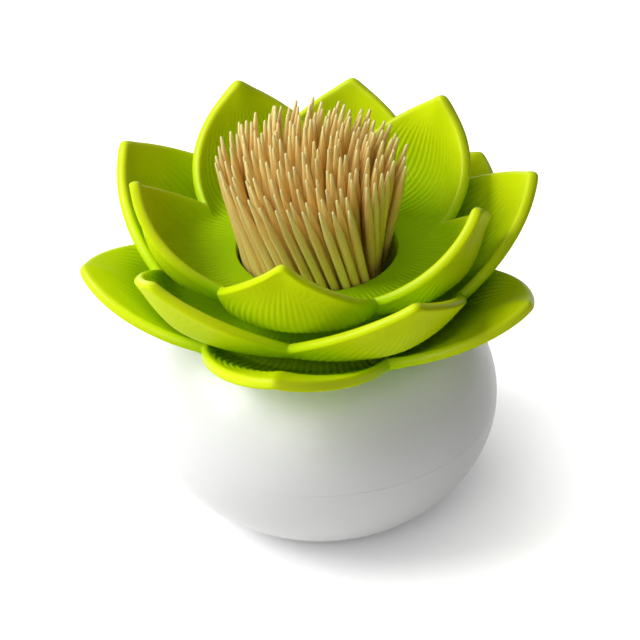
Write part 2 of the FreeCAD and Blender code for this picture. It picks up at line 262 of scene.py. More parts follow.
def grid_quads(rows, columns, closed_rows):
    """Quads between the points of a grid whose columns close on themselves."""
    row = np.arange(rows if closed_rows else rows - 1)[:, None]
    column = np.arange(columns)[None, :]
    below = (row + 1) % rows
    beside = (column + 1) % columns
    quads = np.stack([row * columns + column, row * columns + beside,
                      below * columns + beside, below * columns + column], axis=-1)
    return quads.reshape(-1, 4)


def grid_piece(name, grid, closed_rows, attributes=None):
    """A smooth closed mesh from a (rows, columns, 3) grid of points.

    The columns close on themselves.  The rows close too, or else the first and last row are poles,
    where a row's points fall together into one and its quads into triangles."""
    rows, columns = grid.shape[:2]
    vertices = grid.reshape(-1, 3)
    quads = outward(vertices, grid_quads(rows, columns, closed_rows))
    if closed_rows:
        faces = quads.tolist()
    else:
        joined = np.arange(len(vertices))
        joined[:columns] = 0
        joined[-columns:] = len(vertices) - columns
        kept, joined = np.unique(joined, return_inverse=True)
        vertices = vertices[kept]
        quads = joined[quads]
        ring = np.roll(quads, 1, axis=1)
        doubled = quads == ring
        faces = quads[~doubled.any(axis=1)].tolist()
        faces += quads[doubled.any(axis=1)][~doubled[doubled.any(axis=1)]].reshape(-1, 3).tolist()
    piece = place(name, vertices, faces)
    piece.data.shade_smooth()
    for label, values in (attributes or {}).items():
        carry(piece, label, values)
    piece.data.validate()
    return piece


def carry(piece, label, values, kind="FLOAT", field="value"):
    """Gives each point of a piece its own value under a label."""
    layer = piece.data.attributes.new(label, kind, "POINT")
    layer.data.foreach_set(field, np.ascontiguousarray(values, np.float32).ravel())


def place(name, vertices, faces):
    """An object at the origin, with a mesh of these points and faces."""
    mesh = bpy.data.meshes.new(name)
    mesh.from_pydata(vertices.tolist(), [], faces)
    piece = bpy.data.objects.new(name, mesh)
    bpy.context.scene.collection.objects.link(piece)
    return piece


def dress(piece, material, body, slot, *nodes):
    """Gives a piece its finish and its body, and hides the solids that it stands for."""
    piece.data.materials.append(material)
    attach(piece, body)
    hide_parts(*nodes)


def swing(profile, angles):
    """A (..., 2) array of radius and height, swung about Z: x and y are the radius times the
    cosine and the sine of the angle."""
    radius, height = profile[..., 0], profile[..., 1]
    return np.stack([radius * np.cos(angles), radius * np.sin(angles),
                     np.broadcast_to(height, np.broadcast(radius, angles).shape)], axis=-1)


def circle(count):
    """Angles of points spread evenly round a circle."""
    return np.linspace(0, 2 * np.pi, count, endpoint=False)


def turned(name, profile, columns, closed_rows, *dressing):
    """A dressed surface of revolution: each profile point becomes a circle round Z.  Its flat faces
    keep their flat shading beside rounded edges."""
    piece = grid_piece(name, swing(profile[:, None], circle(columns)[None]), closed_rows)
    piece.modifiers.new("Even shading", "WEIGHTED_NORMAL").mode = "FACE_AREA"
    dress(piece, *dressing)


def eased(corners, cut, steps=5):
    """A path of (radius, height) corners with its inner corners rounded.

    Each corner P is replaced by the parabola (1-t)^2 A + 2t(1-t) P + t^2 B, where A and B lie on
    the two sides at the cut's distance from P, or at 0.45 of a side that is shorter than that."""
    corners = np.asarray(corners, float)
    before, corner, after = corners[:-2], corners[1:-1], corners[2:]
    back = np.linalg.norm(before - corner, axis=1, keepdims=True)
    ahead = np.linalg.norm(after - corner, axis=1, keepdims=True)
    start = corner + (before - corner) * np.minimum(cut / back, 0.45)
    end = corner + (after - corner) * np.minimum(cut / ahead, 0.45)
    t = np.linspace(0, 1, steps)[None, :, None]
    bends = (1 - t) ** 2 * start[:, None] + 2 * t * (1 - t) * corner[:, None] + t ** 2 * end[:, None]
    return np.concatenate([corners[:1], bends.reshape(-1, 2), corners[-1:]])


# ---- Effects that several finishes use ----
def add(tree, kind, values=None, **settings):
    """A node with its settings; its inputs are set to values or linked to other nodes' outputs."""
    made = tree.nodes.new(kind)
    for name, setting in settings.items():
        setattr(made, name, setting)
    for socket, value in (values or {}).items():
        if isinstance(value, bpy.types.NodeSocket):
            tree.links.new(value, made.inputs[socket])
        else:
            made.inputs[socket].default_value = value
    return made


def maths(tree, operation, first, second=0.5, third=0.0, clamp=False):
    """The output of a Math node."""
    return add(tree, "ShaderNodeMath", {0: first, 1: second, 2: third}, operation=operation,
               use_clamp=clamp).outputs[0]


def blend(tree, factor, first, second, mode="MIX"):
    """The output of a colour Mix node."""
    return add(tree, "ShaderNodeMix", {0: factor, 6: first, 7: second}, data_type="RGBA",
               blend_type=mode).outputs[2]


def step_up(tree, value, low, high):
    """0 below low, 1 above high and a smooth step between."""
    return add(tree, "ShaderNodeMapRange", {"Value": value, "From Min": low, "From Max": high},
               interpolation_type="SMOOTHSTEP").outputs[0]


def stretched_noise(tree, place, scale, values, **mapping):
    """Noise on coordinates that a Mapping node scales, each axis by its own factor."""
    scaled = add(tree, "ShaderNodeMapping", {"Vector": place, "Scale": scale, **mapping}).outputs[0]
    return add(tree, "ShaderNodeTexNoise", {"Vector": scaled, "Scale": 1.0, **values}).outputs["Fac"]


def effect(name, inputs, outputs):
    """A node group with float inputs and outputs and a vector input called Place."""
    group = bpy.data.node_groups.new(name, "ShaderNodeTree")
    group.interface.new_socket("Place", in_out="INPUT", socket_type="NodeSocketVector")
    for socket, value in inputs.items():
        group.interface.new_socket(socket, in_out="INPUT",
                                   socket_type="NodeSocketFloat").default_value = value
    for socket in outputs:
        group.interface.new_socket(socket, in_out="OUTPUT", socket_type="NodeSocketFloat")
    return group, group.nodes.new("NodeGroupInput").outputs, group.nodes.new("NodeGroupOutput").inputs


def moulded_skin():
    """Faint ripple of a moulding's surface, as a height, and the change of gloss that goes with
    it.  Both come from two octaves of noise, one broad and one fine."""
    name = "Moulded skin"
    if name in bpy.data.node_groups:
        return bpy.data.node_groups[name]
    group, given, made = effect(name, {"Broad scale": 60.0, "Fine scale": 1400.0, "Fine share": 0.3},
                                ["Height", "Gloss change"])
    broad = add(group, "ShaderNodeTexNoise", {"Vector": given["Place"], "Scale": given["Broad scale"],
                                              "Detail": 2.0, "Roughness": 0.4})
    fine = add(group, "ShaderNodeTexNoise", {"Vector": given["Place"], "Scale": given["Fine scale"],
                                             "Detail": 1.0})
    fine_part = maths(group, "MULTIPLY", fine.outputs["Fac"], given["Fine share"])
    group.links.new(maths(group, "ADD", broad.outputs["Fac"], fine_part), made["Height"])
    group.links.new(maths(group, "SUBTRACT", broad.outputs["Fac"], 0.5), made["Gloss change"])
    return group


def handling():
    """Masks of a used surface: fine settled dust, more of it on faces that look up, and faint
    rubbed streaks where fingers hold the piece."""
    name = "Handling marks"
    if name in bpy.data.node_groups:
        return bpy.data.node_groups[name]
    group, given, made = effect(name, {"Dust": 0.3, "Rub": 0.3}, ["Dust", "Rub"])
    specks = add(group, "ShaderNodeTexNoise", {"Vector": given["Place"], "Scale": 900.0, "Detail": 3.0,
                                               "Roughness": 0.65})
    facing = add(group, "ShaderNodeNewGeometry").outputs["Normal"]
    up = add(group, "ShaderNodeSeparateXYZ", {0: facing}).outputs["Z"]
    settled = maths(group, "MULTIPLY_ADD", up, 0.5, 0.5, clamp=True)
    specked = step_up(group, specks.outputs["Fac"], 0.52, 0.75)
    dust = maths(group, "MULTIPLY", maths(group, "MULTIPLY", specked, settled), given["Dust"])
    streaks = stretched_noise(group, given["Place"], (60.0, 60.0, 260.0),
                              {"Detail": 4.0, "Roughness": 0.6}, Rotation=(0.5, 0.3, 0.0))
    rubbed = step_up(group, streaks, 0.5, 0.8)
    group.links.new(dust, made["Dust"])
    group.links.new(maths(group, "MULTIPLY", rubbed, given["Rub"]), made["Rub"])
    return group


def opaque(tint, *factors):
    """A colour with full alpha, its channels times the factors and no more than 1."""
    return (*(min(1.0, channel * factor) for channel, factor in zip(tint, factors or (1, 1, 1))), 1.0)


def tinted(tree, base, second, mask, amount):
    """A base colour, blended towards a second one by a mask times an amount."""
    return blend(tree, maths(tree, "MULTIPLY", mask, amount), base, second)


def use(tree, group, values):
    """The outputs of a node group placed in a material."""
    return add(tree, "ShaderNodeGroup", values, node_tree=group).outputs


def ripple(tree, spot, broad, fine, fine_share):
    """The moulded skin placed in a material, with its scales."""
    return use(tree, moulded_skin(), {"Place": spot, "Broad scale": broad, "Fine scale": fine,
                                      "Fine share": fine_share})


def attribute(tree, label, output="Fac"):
    """A value that a piece's own points carry."""
    return add(tree, "ShaderNodeAttribute", attribute_name=label).outputs[output]


def finish(name):
    """A new material: its node tree, its Principled shader and its Object coordinates."""
    material = bpy.data.materials.new(name)
    material.use_nodes = True
    tree = material.node_tree
    shader = tree.nodes["Principled BSDF"]
    spot = add(tree, "ShaderNodeTexCoord").outputs["Object"]
    return material, tree, shader, spot


def connect(tree, shader, base, roughness, height, distance):
    """Base colour, roughness and bump of a Principled shader."""
    tree.links.new(base, shader.inputs["Base Color"])
    tree.links.new(roughness, shader.inputs["Roughness"])
    bump = add(tree, "ShaderNodeBump", {"Height": height, "Distance": distance, "Strength": 1.0})
    tree.links.new(bump.outputs[0], shader.inputs["Normal"])


def glossy_plastic(tint):
    """White glossy plastic of the globe."""
    material, tree, shader, spot = finish("White glossy plastic")
    shader.inputs["Coat Weight"].default_value = 0.12
    shader.inputs["Coat Roughness"].default_value = 0.12
    skin = ripple(tree, spot, 45.0, 900.0, 0.12)
    marks = use(tree, handling(), {"Place": spot, "Dust": 0.25, "Rub": 0.35})
    cloudy = blend(tree, maths(tree, "MULTIPLY_ADD", skin["Gloss change"], 0.9, 0.5, clamp=True),
                   opaque(tint, 0.975, 0.975, 0.975), opaque(tint))
    base = tinted(tree, cloudy, (0.62, 0.60, 0.56, 1.0), marks["Dust"], 0.35)
    rough = maths(tree, "MULTIPLY_ADD", skin["Gloss change"], 0.10, 0.33)
    rough = maths(tree, "MULTIPLY_ADD", marks["Rub"], 0.18, rough)
    rough = maths(tree, "MULTIPLY_ADD", marks["Dust"], 0.3, rough, clamp=True)
    connect(tree, shader, base, rough, skin["Height"], 0.00006)
    return material


def petal_plastic(tint, painted_hub_shade):
    """Satin plastic of the petals: deeper and greener towards the hub as painted shade, grooves a
    little deeper in colour as painted shade, rims a little lighter as a painted highlight."""
    material, tree, shader, spot = finish("Lime satin plastic")
    shader.inputs["IOR"].default_value = 1.07
    shader.inputs["Coat Roughness"].default_value = 0.3
    tree.links.new(maths(tree, "MULTIPLY", attribute(tree, "rim"), 0.35), shader.inputs["Coat Weight"])
    skin = ripple(tree, spot, 120.0, 2200.0, 0.5)
    marks = use(tree, handling(), {"Place": spot, "Dust": 0.25, "Rub": 0.3})
    # A darker tint: painted shade in the grooves, and the random cloudiness further down.
    deep = opaque(tint, 0.66, 0.76, 0.6)
    # Painted shade: blends from the darker, greener hub colour to the rim colour by the share of the
    # way up.
    base = blend(tree, attribute(tree, "climb"), opaque(painted_hub_shade), opaque(tint))
    # Painted shade: the grooves between the ribs are darker in colour.
    base = tinted(tree, base, deep, attribute(tree, "groove"), 0.35)
    # Painted highlight: the upper rim is lighter and yellower in colour.
    base = tinted(tree, base, opaque(tint, 1.3, 1.18, 3), attribute(tree, "rim"), 0.15)
    cloud = maths(tree, "MULTIPLY_ADD", skin["Gloss change"], 0.5, 0.10, clamp=True)
    base = blend(tree, cloud, base, deep)
    base = tinted(tree, base, (0.6, 0.62, 0.3, 1.0), marks["Dust"], 0.10)
    rough = maths(tree, "MULTIPLY_ADD", skin["Gloss change"], 0.16, 0.40)
    rough = maths(tree, "MULTIPLY_ADD", marks["Rub"], -0.10, rough)
    rough = maths(tree, "MULTIPLY_ADD", marks["Dust"], 0.25, rough, clamp=True)
    connect(tree, shader, base, rough, skin["Height"], 0.00005)
    return material


def cup_plastic(tint):
    """Plain satin plastic of the cup and the retaining ring, a little cloudy."""
    name = "Lime cup plastic"
    if name in bpy.data.materials:
        return bpy.data.materials[name]
    material, tree, shader, spot = finish(name)
    skin = ripple(tree, spot, 90.0, 1800.0, 0.4)
    marks = use(tree, handling(), {"Place": spot, "Dust": 0.4, "Rub": 0.2})
    cloud = maths(tree, "MULTIPLY_ADD", skin["Gloss change"], 0.8, 0.2, clamp=True)
    base = blend(tree, cloud, opaque(tint), opaque(tint, 0.82, 0.82, 0.82))
    base = tinted(tree, base, (0.6, 0.55, 0.4, 1.0), marks["Dust"], 0.2)
    rough = maths(tree, "MULTIPLY_ADD", skin["Gloss change"], 0.14, 0.42, clamp=True)
    connect(tree, shader, base, rough, skin["Height"], 0.00005)
    return material


def bamboo(tint, dark):
    """Bamboo: long fibres along each toothpick, its own tone, and paler points, partly cut wood and
    partly a painted highlight.

    The fibres are noise on the toothpick's own coordinates, drawn out along its length."""
    name = "Bamboo"
    if name in bpy.data.materials:
        return bpy.data.materials[name]
    material, tree, shader, _ = finish(name)
    own = attribute(tree, "own_place", "Vector")
    fibre = stretched_noise(tree, own, (2600.0, 2600.0, 90.0), {"Detail": 3.0, "Roughness": 0.6})
    blotch = stretched_noise(tree, own, (300.0, 300.0, 120.0), {"Detail": 2.0})
    tone = attribute(tree, "tone")
    streak = step_up(tree, fibre, 0.42, 0.72)
    # Paler colour: random pale blotches, and a painted highlight on the points.
    pale_and_highlight = opaque(tint, 1.22, 1.32, 2.0)
    base = blend(tree, maths(tree, "MULTIPLY_ADD", blotch, 0.9, -0.15, clamp=True), opaque(tint), pale_and_highlight)
    base = tinted(tree, base, opaque(dark), tone, 0.42)
    base = tinted(tree, base, opaque(dark), streak, 0.28)
    # Paler points: partly the cut wood, partly a painted highlight.
    base = tinted(tree, base, pale_and_highlight, attribute(tree, "point"), 0.7)
    rough = maths(tree, "MULTIPLY_ADD", streak, 0.15, 0.38)
    connect(tree, shader, base, rough, fibre, 0.00008)
    return material


def paper_floor(tint, glow, far_glow):
    """Matt white floor: shaded by the lamps, with a plain white part that only the camera and
    mirror-like surfaces see and that grows away from the middle, so that the floor is darker round the
    foot as a painted shadow, and a barely visible paper grain."""
    material, tree, shader, spot = finish("Studio floor")
    grain = ripple(tree, spot, 30.0, 1600.0, 0.3)
    soft = maths(tree, "MULTIPLY_ADD", grain["Gloss change"], 0.05, 0.97)
    grey = add(tree, "ShaderNodeCombineColor", {0: soft, 1: soft, 2: soft}).outputs[0]
    base = blend(tree, 1.0, opaque(tint), grey, "MULTIPLY")
    tree.links.new(base, shader.inputs["Base Color"])
    shader.inputs["Roughness"].default_value = 0.9
    shader.inputs["Specular IOR Level"].default_value = 0.1
    shader.inputs["Emission Color"].default_value = (1.0, 1.0, 1.0, 1.0)
    # Painted shadow: the white that the camera sees is weakest at the foot and grows outwards, so the
    # floor is darker round the object.
    away = add(tree, "ShaderNodeVectorMath", {0: spot}, operation="LENGTH").outputs["Value"]
    glow_with_painted_shadow = add(tree, "ShaderNodeMapRange", {"Value": away, "From Min": 0.022, "From Max": 0.058,
                                               "To Min": glow, "To Max": far_glow}).outputs[0]
    strength = maths(tree, "MULTIPLY", seen_directly(tree), glow_with_painted_shadow)
    tree.links.new(strength, shader.inputs["Emission Strength"])
    return material


def seen_directly(tree):
    """1 on camera, glossy and transmission rays, and 0 on the rays that light other surfaces."""
    ray = add(tree, "ShaderNodeLightPath").outputs
    either = maths(tree, "MAXIMUM", ray["Is Camera Ray"], ray["Is Glossy Ray"])
    return maths(tree, "MAXIMUM", either, ray["Is Transmission Ray"])


# ---- Globe ----
def globe_arc(globe, inset, low, high, steps):
    """The globe's meridian between two heights: radius a cos v and height b sin v above the seam,
    with both half axes set in by the same wall."""
    a = globe.radius - inset
    b = globe.half_height - inset
    v = np.linspace(np.arcsin((low - SEAM_HEIGHT) / b), np.arcsin((high - SEAM_HEIGHT) / b), steps)
    return np.stack([a * np.cos(v), SEAM_HEIGHT + b * np.sin(v)], axis=1)


class BuildGlobe(bpy.types.Operator):
    """Builds the lower and the upper half of the globe as surfaces of revolution"""
    bl_idname = "dispenser.globe"
    bl_label = "Globe"

    def execute(self, context):
        globe = context.scene.dispenser.globe
        plastic = glossy_plastic(globe.tint)
        seam, groove = SEAM_HEIGHT, globe.seam_groove
        inside = globe.radius - globe.wall
        tongue = globe.radius - globe.wall / 2 - globe.seam_gap / 2
        outer = globe_arc(globe, 0, 0, seam - groove, OUTER_ARC_STEPS)
        inner = globe_arc(globe, globe.wall, globe.floor, seam, INNER_ARC_STEPS)[::-1]
        foot = eased([(0, 0), (globe.foot_radius, 0), outer[3]], globe.ease)
        lap = eased([outer[-2], outer[-1], (globe.radius - groove, seam), (tongue, seam),
                     (tongue, seam + globe.seam_lap), (inside, seam + globe.seam_lap), inner[1]],
                    SEAM_EASE)
        floor = np.array([(0, globe.floor)])
        base = np.concatenate([foot, outer[4:-2], lap, inner[2:], floor])
        turned("globe_lower_half", base, GLOBE_COLUMNS, False, plastic, "globe", "globe",
               "base_shell")

        collar = globe.mouth_bore + globe.collar_wall
        b = globe.half_height - globe.wall
        root = seam + b * np.sqrt(1 - (collar / inside) ** 2)
        lap_top = seam + globe.seam_lap + globe.seam_gap
        groove_wall = globe.radius - globe.wall / 2 + globe.seam_gap / 2
        outer = globe_arc(globe, 0, seam + groove, MOUTH_HEIGHT, OUTER_ARC_STEPS)
        inner = globe_arc(globe, globe.wall, lap_top, root, INNER_ARC_STEPS)[::-1]
        low = MOUTH_HEIGHT - globe.collar_depth
        mouth = eased([outer[-3], (globe.mouth_edge, MOUTH_HEIGHT), (globe.mouth_bore, MOUTH_HEIGHT),
                       (globe.mouth_bore, low), (collar, low), (collar, root), inner[2]], MOUTH_EASE)
        lap = eased([inner[-2], inner[-1], (groove_wall, lap_top), (groove_wall, seam),
                     (globe.radius - groove, seam), outer[0], outer[1]], SEAM_EASE)
        top = np.concatenate([outer[2:-3], mouth, inner[3:-2], lap])
        turned("globe_upper_half", top, GLOBE_COLUMNS, True, plastic, "globe", "globe", "top_shell")
        return {"FINISHED"}


# ---- Petals ----
def rounded_share(signed, reach, kept):
    """How far a place is from the petal's midline, 0, to the notch, 1, with the kink at the
    midline rounded: sqrt(s^2 + e^2) - k e exp(-(s / 2e)^2).  Where k is 1 the midline stays where
    it is, and where k is 0 it is cut back by e."""
    return np.sqrt(signed ** 2 + reach ** 2) - kept * reach * np.exp(-(signed / (2 * reach)) ** 2)


def rim_of(ring, hub_top, away):
    """Radius, height and slope of the rim.  From tip to notch the height and the slope fall
    evenly, and the radius falls as a power of the share."""
    away = np.clip(away, 0, 1)
    radius = ring.tip_radius - (ring.tip_radius - ring.cusp_radius) * away ** ring.outline
    height = hub_top + ring.tip_rise - (ring.tip_rise - ring.cusp_rise) * away
    return radius, height, ring.tip_slope + (ring.cusp_slope - ring.tip_slope) * away


def petal_profile(ring, hub_top, away, t):
    """Point and direction of the upper profile at t: the cubic Bezier curve from the hub to the
    rim whose handles leave both ends at their slopes, each its own share of the chord long."""
    radius, height, rim_slope = rim_of(ring, hub_top, away)
    hub = np.array([ring.hub_radius, hub_top])
    rim = np.stack([radius, height], axis=-1)
    chord = np.linalg.norm(rim - hub, axis=-1)[..., None]
    leave = np.array([np.cos(ring.hub_slope), np.sin(ring.hub_slope)])
    arrive = np.stack([np.cos(rim_slope), np.sin(rim_slope)], axis=-1)
    near = hub + ring.hub_reach * chord * leave
    far = rim - ring.rim_reach * chord * arrive
    t = t[..., None]
    u = 1 - t
    spot = u ** 3 * hub + 3 * u * u * t * near + 3 * u * t * t * far + t ** 3 * rim
    along = 3 * (u * u * (near - hub) + 2 * u * t * (far - near) + t * t * (rim - far))
    return spot, along


def rim_lean(ring, half_angle, away):
    """Sine of the angle at which the upper profile meets the rim: the profile's own direction
    (cos a, 0, sin a) against the rim's (dr/ds, r * half angle, dz/ds)."""
    radius, _, rim_slope = rim_of(ring, 0, away)
    inward = -(ring.tip_radius - ring.cusp_radius) * ring.outline * away ** (ring.outline - 1)
    fall = ring.cusp_rise - ring.tip_rise
    around = radius * half_angle
    dot = inward * np.cos(rim_slope) + fall * np.sin(rim_slope)
    return np.sqrt(1 - dot ** 2 / (inward ** 2 + around ** 2 + fall ** 2))


def rib_grooves(petals, signed, radius, start, climbed, ladder, rim_climb, upper):
    """How deep the grooves between the ribs are, from 0 to 1, before the rim clears them.

    The ribs are a cosine of the share across the petal, raised to the power 0.8.  That share is
    divided by the petal's width at the same way up, so the ribs draw together towards the tip, and
    the grooves fade out towards the hub and the rim."""
    before_notch = np.maximum(rim_climb[0] - climbed, 0) / (rim_climb[-1] - rim_climb[0])
    width = np.maximum(np.interp(climbed, rim_climb, ladder), 0.03) + before_notch
    across = signed * (1 + width ** -4) ** 0.25
    ridge = (0.5 + 0.5 * np.cos(np.pi * petals.ribs * across)) ** 0.8
    way_up = climbed / rim_climb[-1]
    upward = smooth(radius, start + START_FADE[0], start + START_FADE[1])
    upward = upward * (1 - smooth(way_up, *UPPER_FADE))
    downward = smooth(climbed, *HUB_FADE) * (1 - smooth(way_up, *LOWER_FADE))
    return (1 - ridge) * np.where(upper, upward, 0.8 * downward)


def petal_ring(name, ring, petals, hub_top, start, first_angle, path_round):
    """One petal ring as a closed grid: columns run round Z, rows run round the wall's section.

    A column's section goes from the hub along the upper face, round the rim and back along the
    lower face.  The rim is two quarter ellipses that meet at the share rim_depth of the wall: a
    wide one on the upper face, rim_round wide, and a narrow one below.  The sine in them is raised
    to the power rim_square, and their widths are divided by the sine of the angle at which the
    profile meets the rim.  path_round closes the section round the hub."""
    half_angle = np.pi / petals.count
    signed = np.linspace(-1, 1, petals.columns, endpoint=False)[:, None]
    above = FLAT_ROWS + UPPER_ROWS
    row = np.arange(above + RIM_ROWS + LOWER_ROWS)
    upper = row < above + RIM_ROWS // 2 + 1
    at_rim = (row >= above) & (row < above + RIM_ROWS)
    angle = np.concatenate([np.zeros(above), np.linspace(0, np.pi, RIM_ROWS + 2)[1:-1],
                            np.full(LOWER_ROWS, np.pi)])
    on_petal = np.concatenate([np.zeros(FLAT_ROWS), np.linspace(0, 1, UPPER_ROWS),
                               np.ones(RIM_ROWS), np.linspace(1, 0, LOWER_ROWS)])
    reach = np.where(upper, petals.rim_round, petals.edge_round)

    at_tip = rounded_share(signed, ring.tip_round, 1 - TIP_CUT)
    _, rim_along = petal_profile(ring, hub_top, at_tip, np.ones_like(signed))
    lean = rim_lean(ring, half_angle, np.sqrt(signed ** 2 + LEAN_SOFTNESS ** 2).clip(0, 1))
    step = np.linalg.norm(rim_along, axis=-1) * lean
    rounding = reach * (1 - np.sin(angle) ** petals.rim_square)
    t = np.where(at_rim, 1 - rounding / step, on_petal * (1 - reach / step))
    softness = ring.tip_round + (HUB_SOFTNESS - ring.tip_round) * (1 - t) ** 1.5
    away = rounded_share(signed, softness, 1 - TIP_CUT * t ** 2)
    spot, along = petal_profile(ring, hub_top, away, t)
    along = along / np.linalg.norm(along, axis=-1, keepdims=True)
    flat = np.linspace(0, 1, FLAT_ROWS + 1)[:-1]
    spot[:, :FLAT_ROWS, 0] = start + (ring.hub_radius - start) * flat
    spot[:, :FLAT_ROWS, 1] = hub_top
    along[:, :FLAT_ROWS] = (1.0, 0.0)
    normal = np.stack([-along[..., 1], along[..., 0]], axis=-1)

    radius = spot[..., 0]
    climbed = np.hypot(radius - ring.hub_radius, spot[..., 1] - hub_top)
    climbed = np.where(radius < ring.hub_radius, 0, climbed)
    ladder = np.linspace(1, 0, LADDER_STEPS)
    rim_radius, rim_height, _ = rim_of(ring, hub_top, ladder)
    rim_climb = np.hypot(rim_radius - ring.hub_radius, rim_height - hub_top)
    to_rim = lean * (np.interp(np.abs(signed), ladder[::-1], rim_climb[::-1]) - climbed)
    groove = rib_grooves(petals, signed, radius, start, climbed, ladder, rim_climb, upper)
    clear = smooth(to_rim, petals.rim_round * 0.8, petals.rim_round + RIM_FADE)
    groove = groove * clear * ~at_rim
    depth = petals.wall * np.where(angle < np.pi / 2, petals.rim_depth * (1 - np.cos(angle)),
                                   petals.rim_depth - (1 - petals.rim_depth) * np.cos(angle))
    offset = -depth - np.where(upper, 1, -1) * petals.rib_depth * groove
    section = spot + normal * offset[..., None]
    hub_side = np.broadcast_to(path_round, (petals.columns, *path_round.shape))
    section = np.concatenate([section, hub_side], axis=1)

    # Masks for painted light in the colour: rim also brings a painted highlight, groove painted shade
    # in the grooves, climb the painted shade towards the hub.
    rim = 1 - smooth(to_rim, petals.rim_round * 0.5, petals.rim_round * 1.3)
    masks = {"groove": groove, "rim": rim * smooth(np.cos(angle), -0.6, 0.3),
             "climb": smooth(climbed / rim_climb[-1], 0.05, 0.75)}
    plain = np.zeros((petals.columns, len(path_round)))
    masks = {label: np.tile(np.concatenate([values, plain], axis=1), (petals.count, 1)).T
             for label, values in masks.items()}
    angles = first_angle + signed * half_angle
    whole = [swing(section, angles + 2 * half_angle * n) for n in range(petals.count)]
    return grid_piece(name, np.concatenate(whole).transpose(1, 0, 2), True, masks)


def smooth(value, low, high):
    """0 below low, 1 above high and a smooth cubic step between."""
    x = np.clip((value - low) / (high - low), 0, 1)
    return x * x * (3 - 2 * x)


class BuildPetals(bpy.types.Operator):
    """Builds the outer, the middle and the inner petal ring"""
    bl_idname = "dispenser.petals"
    bl_label = "Petal rings"

    def execute(self, context):
        settings = context.scene.dispenser
        petals, cup = settings.petals, settings.cup
        plastic = petal_plastic(petals.tint, petals.painted_hub_shade)
        wall = petals.wall
        front = -np.pi / 2
        stack_bore = cup.radius + cup.wall + cup.stack_gap
        collar = stack_bore + petals.collar_wall
        bottoms = [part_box(node)[0].z for node in ("outer_petals", "middle_petals", "inner_petals")]
        tops = {"outer": bottoms[1], "middle": CUP_HIGH.z - cup.flange_thickness}
        turns = (0, np.pi / petals.count, 0)
        for which, bottom, turn in zip(("outer", "middle", "inner"), bottoms, turns):
            ring = getattr(settings, which)
            hub_top = bottom + wall * np.cos(ring.hub_slope)
            under = (ring.hub_radius + wall * np.sin(ring.hub_slope), bottom)
            if which == "inner":
                start = cup.radius + DISH_START
                path = eased([under, (cup.radius, bottom), (cup.radius, hub_top), (start, hub_top)],
                             DISH_EASE, steps=7)
            else:
                start = collar + COLLAR_START
                path = eased([under, (stack_bore, bottom), (stack_bore, tops[which]),
                              (collar, tops[which]), (collar, hub_top), (start, hub_top)], HUB_EASE)
            piece = petal_ring(which + "_petal_ring", ring, petals, hub_top, start, front + turn,
                               path[1:-1])
            dress(piece, plastic, "flower_head", "petals", which + "_petals")
        return {"FINISHED"}


# ---- Cup and retaining ring ----
class BuildCup(bpy.types.Operator):
    """Builds the toothpick cup: an open tube with a floor and a flange"""
    bl_idname = "dispenser.cup"
    bl_label = "Cup"

    def execute(self, context):
        cup = context.scene.dispenser.cup
        outside = cup.radius + cup.wall
        flange = outside + cup.flange_width
        shelf = CUP_HIGH.z - cup.flange_thickness
        floor = CUP_LOW.z + cup.floor
        profile = eased([(0, CUP_LOW.z), (outside, CUP_LOW.z), (outside, shelf), (flange, shelf),
                         (flange, CUP_HIGH.z), (cup.radius, CUP_HIGH.z), (cup.radius, floor),
                         (0, floor)], cup.ease)
        turned("toothpick_cup_shell", profile, TUBE_COLUMNS, False, cup_plastic(cup.tint),
               "flower_head", "cup", "toothpick_cup")
        return {"FINISHED"}


class BuildRetainingRing(bpy.types.Operator):
    """Builds the ring that clamps the petal rings on the cup's tube"""
    bl_idname = "dispenser.retaining_ring"
    bl_label = "Retaining ring"

    def execute(self, context):
        cup = context.scene.dispenser.cup
        bore = cup.radius + cup.wall + cup.ring_gap
        outside = bore + cup.ring_wall
        lead = cup.ring_wall / 2
        low, high = RING_LOW.z, RING_HIGH.z
        start = (bore, (low + high) / 2)
        profile = eased([start, (bore, low), (outside - lead, low), (outside, low + lead),
                         (outside, high), (bore, high), start], cup.ease)[:-1]
        turned("retaining_ring_shell", profile, TUBE_COLUMNS, True, cup_plastic(cup.tint),
               "flower_head", "cup", "retaining_ring")
        return {"FINISHED"}


# ---- Toothpicks ----
def bundle_number(picks):
    """The complex number by which a toothpick's place on the floor is multiplied at the
    toothpicks' own height: the fan times a clockwise turn."""
    return picks.fan * np.exp(-1j * picks.twist)


def row_step(picks, cup, floor, dish):
    """Distance between rows on the floor and the number of rows that the cup's mouth takes."""
    top = bundle_number(picks)
    step = (picks.diameter + picks.neighbour_gap) / (abs(top.imag) / abs(top - 1))
    at_mouth = abs(1 + (top - 1) * (dish - floor) / picks.long)
    room = (cup.radius - picks.diameter / 2 - picks.side_gap) / at_mouth
    return step, int((room - picks.centre_room) / step)


